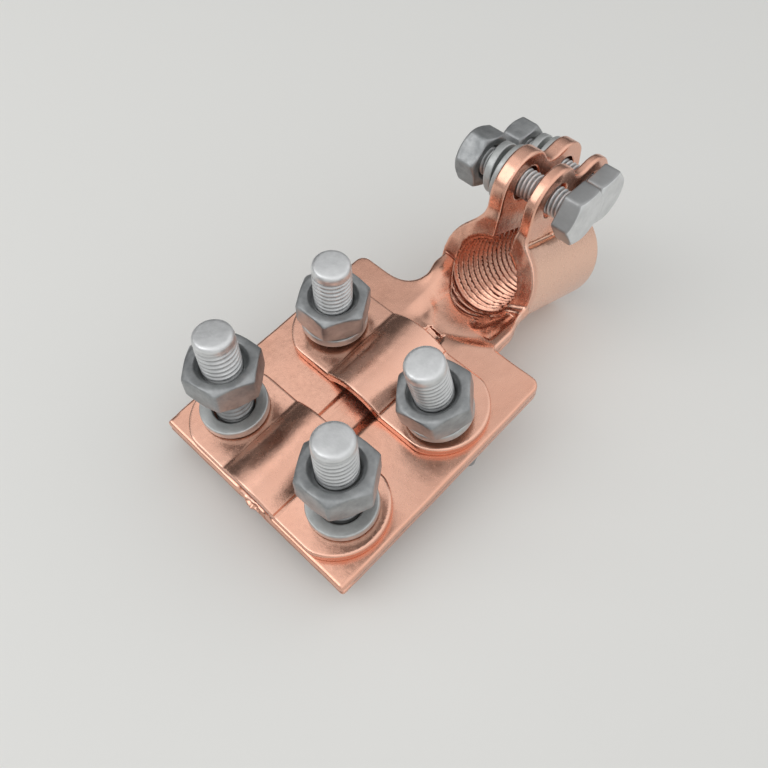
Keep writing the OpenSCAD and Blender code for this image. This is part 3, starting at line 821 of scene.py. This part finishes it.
def body_edge(verts, normals):
    """Edge weights of the body: lighter edges, partly wear and partly painted highlight, painted shade in
    hollows, painted highlights on thread crests, and painted shade in thread roots, on the nose, in the
    crease and on the ring left of the bore
    """
    xb, s, u = to_barrel(*verts.T)
    radius = np.hypot(xb, u)
    # Lighter outside edges, partly wear and partly painted highlight; painted shade in hollows
    edge = BODY_WEAR_HIGHLIGHT_SHADE * edge_weight(body_distance, verts, normals, BODY_WEAR_HIGHLIGHT_SHADE_W)
    # Painted highlight on the bore's thread crests, painted shade in its roots
    threaded = (radius < BORE_R + 0.2) & (s > bore_start(xb) + 0.4)
    edge = np.where(threaded, CREST_HIGHLIGHT * bore_crest(xb, s, u) + ROOT_PAINTED_SHADE, edge)
    # Painted shade on the nose's front face
    nose = ease((-PALM_HALF_L + NOSE_SHADE_Y - verts[:, 1]) / NOSE_SHADE_FADE)
    nose = nose * ease((-verts[:, 2] - NOSE_SHADE_Z) / NOSE_SHADE_FADE)
    edge = edge + NOSE_PAINTED_SHADE * nose
    # Painted shade along the fold where the right ear stands on the barrel
    edge = np.where(crease_distance(xb, s, u) < CREASE_REACH, CREASE_PAINTED_SHADE, edge)
    # Painted shade on the ring's face left of the bore, where it folds into the neck
    fold = ease((-xb - FOLD_X) / FOLD_X_FADE) * ease((FOLD_S - np.abs(s)) / FOLD_S_FADE)
    fold = fold * ease((FOLD_U - np.abs(u)) / FOLD_U_FADE)
    return edge + FOLD_PAINTED_SHADE * np.where(radius < BARREL_R - FOLD_INSET, fold, 0)


def barrel_paleness(verts):
    """1 on the outside of the barrel, 0 elsewhere"""
    xb, s, u = to_barrel(*verts.T)
    outside = ease((np.hypot(xb, u) - PALE_R) / PALE_R_FADE)
    return outside * ease((s - PALE_S) / PALE_FADE) * ease((PALE_U - u) / PALE_FADE)


def make_body():
    """The copper body, one mesh"""
    axes = [grid_lines(*spans) for spans in BODY_GRID]
    verts, faces, normals = surface_net(body_distance, axes)
    body = add_mesh("body", verts, faces, PALM, normals, body_edge(verts, normals))
    pale = body.data.attributes.new("pale", "FLOAT", "POINT")
    pale.data.foreach_set("value", barrel_paleness(verts).astype(np.float32))
    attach(body, "clamp")
    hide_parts("clamp_body")
    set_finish(body, "copper_body")
    return body


# Keeper straps

def strap_distance(x, y, z):
    """Sheet with round ends and an arch across its middle"""
    end = np.hypot(np.abs(x) - STRAP_END_X, y) - STRAP_END_R
    plan = np.minimum(end, np.abs(x) - STRAP_END_X)
    plan = smooth_max(plan, np.abs(y) - STRAP_W / 2, STRAP_CORNER)
    half = ARCH_W / 2
    arch_r = (half * half + ARCH_H * ARCH_H) / (2 * ARCH_H) - STRAP_T / 2
    centre = STRAP_T / 2 + ARCH_H - arch_r
    inside = np.clip(arch_r ** 2 - x * x, 0.01, None)
    rise = np.where(np.abs(x) < ARCH_SHARE * arch_r, centre + np.sqrt(inside), FAR_BELOW)
    middle = smooth_max(rise, STRAP_T / 2 + 0 * x, ARCH_BLEND)
    slope = np.where(rise > STRAP_T / 2, -x / np.sqrt(inside), 0)
    sheet = np.abs(z - middle) / np.sqrt(1 + slope * slope) - STRAP_T / 2
    return round_both(plan, sheet, STRAP_EDGE_R)


def make_strap(key):
    """One keeper strap with its two bolt holes"""
    def distance(x, y, z):
        solid = strap_distance(x, y, z)
        for side in "lr":
            hole_x, hole_y = BOLT_AT[key[0] + side]
            hole = np.hypot(x - hole_x, y + STRAP_Y[key] - hole_y) - HOLE_R
            solid = smooth_max(solid, -hole, STRAP_HOLE_EDGE)
        return solid

    axes = [grid_lines((*span, STRAP_GRID)) for span in ((-31.5, 31.9), (-13.6, 14), (-0.8, 8))]
    verts, faces, normals = surface_net(distance, axes)
    # Lighter edges, partly wear and partly painted highlight, and painted shade in hollows
    edge = edge_weight(distance, verts, normals, STRAP_WEAR_HIGHLIGHT_SHADE_W)
    # Painted shade on the strap's steep sides
    edge = edge + STRAP_SIDE_PAINTED_SHADE * ease((STRAP_SIDE_FROM - np.abs(normals[:, 2])) / STRAP_SIDE_FADE)
    strap = add_mesh(key + "_strap_bar", verts, faces, moved(PALM, 0, STRAP_Y[key], 0), normals, edge)
    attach(strap, key + "_strap")
    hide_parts(key + "_strap")
    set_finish(strap, "copper_strap")
    return strap


# Fasteners

def hex_radius(angles, af, corner_r):
    """Polar radius of a hexagon with eased corners, a corner at angle 0"""
    a = af / 2
    phi = (angles % (math.pi / 3)) - math.pi / 6
    flat = a / np.cos(phi)
    delta = math.pi / 6 - np.abs(phi)
    c = (a - corner_r) / math.cos(math.pi / 6)
    arc = c * np.cos(delta) + np.sqrt(np.maximum(corner_r ** 2 - (c * np.sin(delta)) ** 2, 0))
    on_arc = a * np.tan(np.abs(phi)) > (a - corner_r) * math.tan(math.pi / 6)
    return np.where(on_arc, arc, flat)


def hex_sides(turn, af, flat_share):
    """Radius round a turned hexagon, radius of its round end face and the chamfer's drop from there"""
    rim = hex_radius(RING_ANGLES - math.radians(turn), af, HEX_CORNER_R)
    flat = af / 2 * flat_share
    return rim, flat, np.maximum(rim - flat, 0) * CHAMFER_SLOPE


def turned_profile(corners, closed=False):
    """Rows over all angles from corners of (radius, height, length by which the corner is eased)"""
    rows = [(radius + 0 * RING_ANGLES, height + 0 * RING_ANGLES) for radius, height, _ in corners]
    return rounded(rows, [cut for _, _, cut in corners], closed)


def thread_rows(size, end, depth):
    """Rows of a right hand thread that fades out toward the tip, with weights below 0 in its roots for
    painted shade
    """
    rows, roots = [], []
    pitch = size["pitch"]
    for z in np.arange(THREAD_START, end, pitch / ROWS_PER_TURN):
        phase = z / pitch - RING_ANGLES / (2 * math.pi)
        crest = (0.5 + 0.5 * np.cos(2 * math.pi * phase)) ** CREST_POWER
        fade = ease((end - THREAD_FADE_GAP - z) / THREAD_FADE_L)
        radius = size["r"] - depth * (1 - crest) * fade - TIP_INSET * (1 - fade)
        rows.append((radius, z + 0 * RING_ANGLES))
        roots.append(-(1 - crest) * fade)
    return rows, roots


def bolt_mesh(size, turn, depth, painted_shade_z=0.0):
    """Head below z = 0, threaded shank above, with painted shade on the shank below the given height.
    Returns points, faces and edge weights
    """
    r, length, head = size["r"], size["length"], size["head"]
    rim, flat, drop = hex_sides(turn, size["af"], HEAD_FLAT)
    rows = turned_profile([
        (0.3 * flat, -head, 0), (flat, -head, 0.5), (rim, -head + drop, 0.5),
        (rim, 0, 0.5), (r, 0, 0.3), (r, 0.8, 0)])
    weights = []
    # Painted shade on a head's sides; its outer face only a little darker
    for _, height in rows:
        tone = HEAD_FACE_TONE if height.mean() < 0.3 - head else HEAD_SIDE_PAINTED_SHADE
        weights.append(np.full(RING_POINTS, tone))
    threads, roots = thread_rows(size, length - THREAD_TIP * r, depth)
    for (_, height), root in zip(threads, roots):
        # Painted shade on the shank below the given height, where it stands in shadow under a nut
        weights.append(np.minimum(root, SHANK_PAINTED_SHADE if height[0] < painted_shade_z else 0))
    tip = turned_profile([(share * r, length - back * r, cut) for share, back, cut in BOLT_TIP])
    end_caps = 2
    weights.append(np.zeros(RING_POINTS * len(tip) + end_caps))
    verts, faces = lathe(turned_rings(rows + threads + tip), (True, True))
    return verts, faces, np.concatenate(weights)


def nut_mesh(size, turn):
    """Hexagon nut from z = 0 up, with chamfered bore"""
    r, h = size["r"], size["nut"]
    rim, flat, drop = hex_sides(turn, size["af"], NUT_FLAT)
    bore = r + NUT_PLAY
    mouth = NUT_MOUTH * r
    rows = turned_profile([
        (bore, mouth, 0.2), (bore + mouth, 0, 0.3), (flat, 0, 0.5), (rim, drop, 0.5),
        (rim, h - drop, 0.5), (flat, h, 0.5), (r + NUT_TOP_WIDE * mouth, h, 0.35),
        (bore, h - NUT_TOP_DEEP * mouth, 0.2)], closed=True)
    return lathe(turned_rings(rows), closed=True)


def ring_section(ri, ro, t, ease_r):
    """Rounded rectangular section as (radius, height) pairs"""
    points = [np.array([[a], [b]]) for a, b in ((ri, 0), (ro, 0), (ro, t), (ri, t))]
    return [row[:, 0] for row in rounded(points, [ease_r] * 4, True, 4)]


def spring_washer_mesh(ri, ro, t, rise):
    """Split ring whose ends stand apart, the slit at angle 0 and the low end on its +Y side"""
    section = ring_section(ri, ro, t, SPRING_EDGE)
    gap = SLIT / (ri + ro)
    rings = []
    for angle in np.linspace(gap, 2 * math.pi - gap, SPLIT_RINGS):
        climb = rise * (angle - gap) / (2 * (math.pi - gap))
        rings.append([(p[0] * math.cos(angle), p[0] * math.sin(angle), p[1] + climb) for p in section])
    return lathe(rings, (True, True))


def flat_washer_mesh(ri, ro, t):
    """Plain ring from z = 0 up"""
    return lathe(turned_rings(ring_section(ri, ro, t, FLAT_EDGE)), closed=True)


def add_fastener(name, mesh, matrix, body, node, slot):
    """A fastener that rides on a body and stands for a node"""
    verts, faces, *weights = mesh
    piece = add_mesh(name, verts, faces, matrix, edge=weights[0] if weights else None, sharp_deg=SHARP_DEG)
    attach(piece, body)
    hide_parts(node)
    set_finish(piece, slot)
    return piece


def turned(matrix, degrees, axis="Z"):
    """The same frame turned about one of its own axes"""
    return matrix @ np.array(Matrix.Rotation(math.radians(degrees), 4, axis))


def flipped(matrix):
    """The same frame turned half round its own X"""
    return matrix @ np.diag([1.0, -1.0, -1.0, 1.0])


def spring_full(spring):
    """Height of a spring washer with its ends apart"""
    mid = (spring["ri"] + spring["ro"]) / 2
    return spring["t"] + spring["rise"] + spring["rise"] / 2 * (spring["ro"] / mid - 1)


def front_washer_frame(key, axis):
    """Flat on the front strap, where the leaning bolt passes through"""
    lean = in_palm(axis[:3, 2] / MM)
    mid = STRAP_T + PALM_SPRING["t"] / 2
    x = BOLT_AT[key][0] + mid * lean[0] / lean[2]
    y = BOLT_AT[key][1] + mid * lean[1] / lean[2]
    return moved(PALM, x, y, STRAP_T)


def rear_washer_z(axis):
    """How far up a leaning rear bolt a washer square to it clears the strap"""
    tilt = math.acos(in_palm(axis[:3, 2] / MM)[2])
    return (STRAP_T + MOVE_GAP + PALM_SPRING["ro"] * math.sin(tilt)) / math.cos(tilt)


def make_palm_fasteners():
    """Bolt, nut and spring washer at each corner of the palm"""
    pieces = []
    for key, seat in PALM_SEATS.items():
        axis = palm_bolt_frame(key)
        bolt = "palm_bolt_" + key
        nut = "palm_nut_" + key
        if key[0] == "f":
            nut_z = seat["nut_z"]
            washer_at = front_washer_frame(key, axis)
            washer_body = "front_strap"
        else:
            low = rear_washer_z(axis)
            nut_z = low + spring_full(PALM_SPRING) + SEAT_GAP
            washer_at = moved(axis, 0, 0, low)
            washer_body = nut
        size = dict(PALM_BOLT, length=PALM_BOLT_L[key[0]])
        screw = bolt_mesh(size, seat["turn"], seat["thread"], seat["drop"] + (seat["nut_z"] or 0))
        screw_at = moved(axis, 0, 0, -seat["drop"])
        hex_nut = nut_mesh(PALM_BOLT, seat["nut_turn"])
        washer = spring_washer_mesh(**PALM_SPRING)
        washer_at = turned(washer_at, seat["washer_turn"])
        pieces += [
            add_fastener("palm_screw_" + key, screw, screw_at, bolt, bolt, "zinc_bolt"),
            add_fastener("palm_hex_nut_" + key, hex_nut, moved(axis, 0, 0, nut_z), nut, nut, "zinc_nut"),
            add_fastener("palm_split_washer_" + key, washer, washer_at, washer_body,
                         "palm_washer_" + key, "zinc_washer"),
        ]
    return pieces


def make_ear_fasteners():
    """Bolt, nut, leaning spring washer and flat washer at each hole of the ears"""
    pieces = []
    spring_z = -EAR_OUT - EAR_FLAT_T - SEAT_GAP
    nut_z = spring_z - spring_full(EAR_SPRING) - EAR_NUT_GAP
    tip_out = math.sin(math.radians(EAR_SPRING_LEAN))
    spring_x = -spring_full(EAR_SPRING) / 2 * tip_out
    for key, seat in EAR_SEATS.items():
        axis = ear_bolt_frame(key)
        bolt = "ear_bolt_" + key
        nut = "ear_nut_" + key
        screw = bolt_mesh(EAR_BOLT, seat["turn"], EAR_THREAD)
        screw_at = flipped(moved(axis, 0, 0, EAR_OUT + seat["gap"]))
        hex_nut = nut_mesh(EAR_BOLT, seat["nut_turn"])
        hex_nut_at = flipped(moved(axis, 0, 0, nut_z))
        washer = spring_washer_mesh(**EAR_SPRING)
        washer_at = flipped(moved(axis, spring_x, 0, spring_z - EAR_SPRING["ro"] * tip_out))
        washer_at = turned(washer_at, EAR_SPRING_LEAN, "Y")
        plain = flat_washer_mesh(EAR_BOLT["r"] + EAR_FLAT_PLAY, EAR_FLAT_RO, EAR_FLAT_T)
        plain_at = moved(axis, 0, 0, -EAR_OUT - EAR_FLAT_T)
        pieces += [
            add_fastener("ear_screw_" + key, screw, screw_at, bolt, bolt, "zinc_bolt"),
            add_fastener("ear_hex_nut_" + key, hex_nut, hex_nut_at, nut, nut, "zinc_nut"),
            add_fastener("ear_split_washer_" + key, washer, washer_at, "clamp",
                         "ear_spring_washer_" + key, "zinc_washer"),
            add_fastener("ear_plain_washer_" + key, plain, plain_at, "clamp",
                         "ear_flat_washer_" + key, "zinc_washer"),
        ]
    return pieces


# Materials

def new_material(name):
    """A material with one shader, returned with its nodes and links"""
    material = bpy.data.materials.new(name)
    material.use_nodes = True
    nodes = material.node_tree.nodes
    nodes.clear()
    output = nodes.new("ShaderNodeOutputMaterial")
    shader = nodes.new("ShaderNodeBsdfPrincipled")
    material.node_tree.links.new(shader.outputs["BSDF"], output.inputs["Surface"])
    return material, nodes, material.node_tree.links, shader


def noise(nodes, links, coords, scale, detail, rough=0.55):
    """Cloudy pattern of one size"""
    node = nodes.new("ShaderNodeTexNoise")
    node.inputs["Scale"].default_value = scale
    node.inputs["Detail"].default_value = detail
    node.inputs["Roughness"].default_value = rough
    links.new(coords.outputs["Object"], node.inputs["Vector"])
    return node.outputs["Fac"]


def ramp(nodes, links, source, stops):
    """Colours between stops of (value, colour)"""
    node = nodes.new("ShaderNodeValToRGB")
    while len(node.color_ramp.elements) < len(stops):
        node.color_ramp.elements.new(0.5)
    for element, (position, colour) in zip(node.color_ramp.elements, stops):
        element.position = position
        element.color = (*colour, 1.0)
    links.new(source, node.inputs["Fac"])
    return node.outputs["Color"]


def grey_ramp(nodes, links, source, *stops):
    """Greys between stops of (value, brightness)"""
    return ramp(nodes, links, source, [(position, (value, value, value)) for position, value in stops])


def point_weight(nodes, name):
    """A weight kept with the points of a mesh"""
    node = nodes.new("ShaderNodeAttribute")
    node.attribute_name = name
    return node.outputs["Fac"]


def negative(nodes, links, value):
    """A value times -1, so that a ramp can read weights below 0"""
    node = nodes.new("ShaderNodeMath")
    node.operation = "MULTIPLY"
    node.inputs[1].default_value = -1.0
    links.new(value, node.inputs[0])
    return node.outputs["Value"]


def tinted(nodes, links, factor, colour, tint):
    """A colour mixed toward a fixed tint"""
    node = nodes.new("ShaderNodeMix")
    node.data_type = "RGBA"
    links.new(factor, node.inputs[0])
    links.new(colour, node.inputs[6])
    node.inputs[7].default_value = (*tint, 1.0)
    return node.outputs[2]


def add_bump(nodes, links, height, strength, distance, before=None):
    """Bumps from a pattern, on top of bumps made before"""
    node = nodes.new("ShaderNodeBump")
    node.inputs["Strength"].default_value = strength
    node.inputs["Distance"].default_value = distance
    links.new(height, node.inputs["Height"])
    if before is not None:
        links.new(before, node.inputs["Normal"])
    return node.outputs["Normal"]


def copper_material(name, light, deep):
    """Bare copper: broad tone shifts, fine specks, brighter edges that are partly wear and partly painted
    highlight, painted highlights on thread crests, painted shade in hollows, thread roots and other shaded
    places, a paler barrel
    """
    material, nodes, links, shader = new_material(name)
    coords = nodes.new("ShaderNodeTexCoord")
    broad = noise(nodes, links, coords, scale=55, detail=3)
    fine = noise(nodes, links, coords, scale=900, detail=4, rough=0.65)
    speck = noise(nodes, links, coords, scale=700, detail=2)
    edge = point_weight(nodes, "edge")
    inward = negative(nodes, links, edge)
    layers = (
        (grey_ramp(nodes, links, speck, (0.79, 0), (0.85, 0.22)), COPPER_SPECK),
        # Lighter edges, partly wear and partly painted highlight, with painted highlights on thread crests
        (grey_ramp(nodes, links, edge, (0.10, 0), (0.55, 0.6)), COPPER_WEAR_AND_HIGHLIGHT),
        # Painted shade in hollows, thread roots, creases, on the nose and on strap sides
        (grey_ramp(nodes, links, inward, (0.42, 0), (0.65, 0.3), (1.0, 0.92)), COPPER_PAINTED_SHADE),
        (point_weight(nodes, "pale"), COPPER_PALE),
    )
    colour = ramp(nodes, links, broad, ((0.32, deep), (0.68, light)))
    for factor, tint in layers:
        colour = tinted(nodes, links, factor, colour, tint)
    links.new(colour, shader.inputs["Base Color"])
    shader.inputs["Metallic"].default_value = 1.0
    gloss = grey_ramp(nodes, links, fine, (0.3, 0.19), (0.7, 0.30))
    links.new(gloss, shader.inputs["Roughness"])
    bump = add_bump(nodes, links, broad, strength=0.25, distance=0.0015)
    bump = add_bump(nodes, links, fine, strength=0.12, distance=0.0002, before=bump)
    links.new(bump, shader.inputs["Normal"])
    return material


def zinc_material(name, light, dark, roughness):
    """Hot-dip zinc: mottled grey, lumpy and dull, with painted shade in thread roots, on head sides and on
    the shank under a nut
    """
    material, nodes, links, shader = new_material(name)
    coords = nodes.new("ShaderNodeTexCoord")
    mottle = noise(nodes, links, coords, scale=260, detail=4, rough=0.6)
    fine = noise(nodes, links, coords, scale=1400, detail=3)
    # Painted shade where the weights fall below 0: thread roots, head sides and the shank under a nut
    inward = negative(nodes, links, point_weight(nodes, "edge"))
    root = grey_ramp(nodes, links, inward, (0.2, 0), (0.9, 0.75))
    tone = ramp(nodes, links, mottle, ((0.34, dark), (0.66, light)))
    links.new(tinted(nodes, links, root, tone, ZINC_PAINTED_SHADE), shader.inputs["Base Color"])
    shader.inputs["Metallic"].default_value = 0.85
    gloss = grey_ramp(nodes, links, fine, (0.3, roughness - 0.07), (0.7, roughness + 0.08))
    links.new(gloss, shader.inputs["Roughness"])
    bump = add_bump(nodes, links, mottle, strength=0.25, distance=0.0004)
    bump = add_bump(nodes, links, fine, strength=0.15, distance=0.0001, before=bump)
    links.new(bump, shader.inputs["Normal"])
    return material


# Stage

def make_floor():
    """Pale table top under the lowest point"""
    z = cad_box[0][2]
    corners = ((-1, -1), (1, -1), (1, 1), (-1, 1))
    mesh = bpy.data.meshes.new("floor")
    mesh.from_pydata([(x * FLOOR_HALF, y * FLOOR_HALF, z) for x, y in corners], [], [(0, 1, 2, 3)])
    floor = bpy.data.objects.new("floor", mesh)
    bpy.context.scene.collection.objects.link(floor)
    material, _, _, shader = new_material("table_top")
    shader.inputs["Base Color"].default_value = (*FLOOR_COLOUR, 1.0)
    shader.inputs["Roughness"].default_value = FLOOR_ROUGHNESS
    mesh.materials.append(material)


def make_camera():
    """Camera fitted to the photograph"""
    azimuth, elevation, roll = (math.radians(v) for v in (CAMERA_AZIMUTH, CAMERA_ELEVATION, CAMERA_ROLL))
    back = np.array([math.sin(azimuth) * math.cos(elevation), -math.cos(azimuth) * math.cos(elevation),
                     math.sin(elevation)])
    right = np.array([math.cos(azimuth), math.sin(azimuth), 0.0])
    up = np.cross(back, right)
    axes = np.stack([right * math.cos(roll) + up * math.sin(roll),
                     up * math.cos(roll) - right * math.sin(roll), back], 1)
    world = np.eye(4)
    world[:3, :3] = PALM[:3, :3] / MM @ axes
    world[:3, 3] = (PALM @ np.array([*CAMERA_AT, 1.0]))[:3]
    data = bpy.data.cameras.new("photo_camera")
    data.sensor_width = SENSOR
    data.lens = SENSOR * LENS_PIXELS / IMAGE_PIXELS
    data.clip_start = CAMERA_NEAR
    camera = bpy.data.objects.new("photo_camera", data)
    camera.matrix_world = Matrix(world.tolist())
    bpy.context.scene.collection.objects.link(camera)
    bpy.context.scene.camera = camera


def side_light(nodes, links, coords, side, tones):
    """Brightness of the room by how far a direction turns toward one side"""
    facing = nodes.new("ShaderNodeVectorMath")
    facing.operation = "DOT_PRODUCT"
    facing.inputs[1].default_value = side
    links.new(coords.outputs["Generated"], facing.inputs[0])
    return grey_ramp(nodes, links, facing.outputs["Value"], *tones)


def make_world():
    """Soft room, brightest on one side and a little lit from the front"""
    world = bpy.data.worlds.new("soft_room")
    world.use_nodes = True
    nodes, links = world.node_tree.nodes, world.node_tree.links
    nodes.clear()
    output = nodes.new("ShaderNodeOutputWorld")
    background = nodes.new("ShaderNodeBackground")
    coords = nodes.new("ShaderNodeTexCoord")
    both = nodes.new("ShaderNodeMix")
    both.data_type = "RGBA"
    both.blend_type = "ADD"
    both.inputs[0].default_value = 1.0
    links.new(side_light(nodes, links, coords, BRIGHT_SIDE, BRIGHT_TONES), both.inputs[6])
    links.new(side_light(nodes, links, coords, FRONT_SIDE, FRONT_TONES), both.inputs[7])
    links.new(both.outputs[2], background.inputs["Color"])
    background.inputs["Strength"].default_value = ROOM_STRENGTH
    links.new(background.outputs["Background"], output.inputs["Surface"])
    bpy.context.scene.world = world


def add_lamp(name, at, size, power):
    """Square soft lamp that faces the part"""
    data = bpy.data.lights.new(name, "AREA")
    data.size = size
    data.energy = power
    lamp = bpy.data.objects.new(name, data)
    z = np.array(at) - np.array(LAMP_TARGET)
    z /= np.linalg.norm(z)
    x = np.cross((0, 0, 1), z)
    x /= np.linalg.norm(x)
    y = np.cross(z, x)
    world = np.eye(4)
    world[:3, :3] = np.stack([x, y, z], 1)
    world[:3, 3] = at
    lamp.matrix_world = Matrix(world.tolist())
    bpy.context.scene.collection.objects.link(lamp)


FINISH = {
    "copper_body": copper_material("copper_body_bare", (0.87, 0.50, 0.375), (0.81, 0.44, 0.32)),
    "copper_strap": copper_material("copper_strap_bare", (0.89, 0.52, 0.395), (0.83, 0.46, 0.34)),
    "zinc_bolt": zinc_material("zinc_bolt_dull", (0.78, 0.79, 0.795), (0.66, 0.67, 0.675), 0.42),
    "zinc_nut": zinc_material("zinc_nut_dull", (0.40, 0.41, 0.415), (0.26, 0.27, 0.275), 0.42),
    "zinc_washer": zinc_material("zinc_washer_bright", (0.56, 0.575, 0.57), (0.44, 0.455, 0.45), 0.46),
}

make_camera()
make_floor()
make_world()
for lamp_name, lamp_values in LAMPS.items():
    add_lamp(lamp_name, **lamp_values)
pieces = [make_body()] + [make_strap(strap_key) for strap_key in STRAP_Y]
for piece in pieces + make_palm_fasteners() + make_ear_fasteners():
    piece.data.materials.append(FINISH[piece["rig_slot"]])

bpy.context.scene.view_settings.view_transform = "Standard"
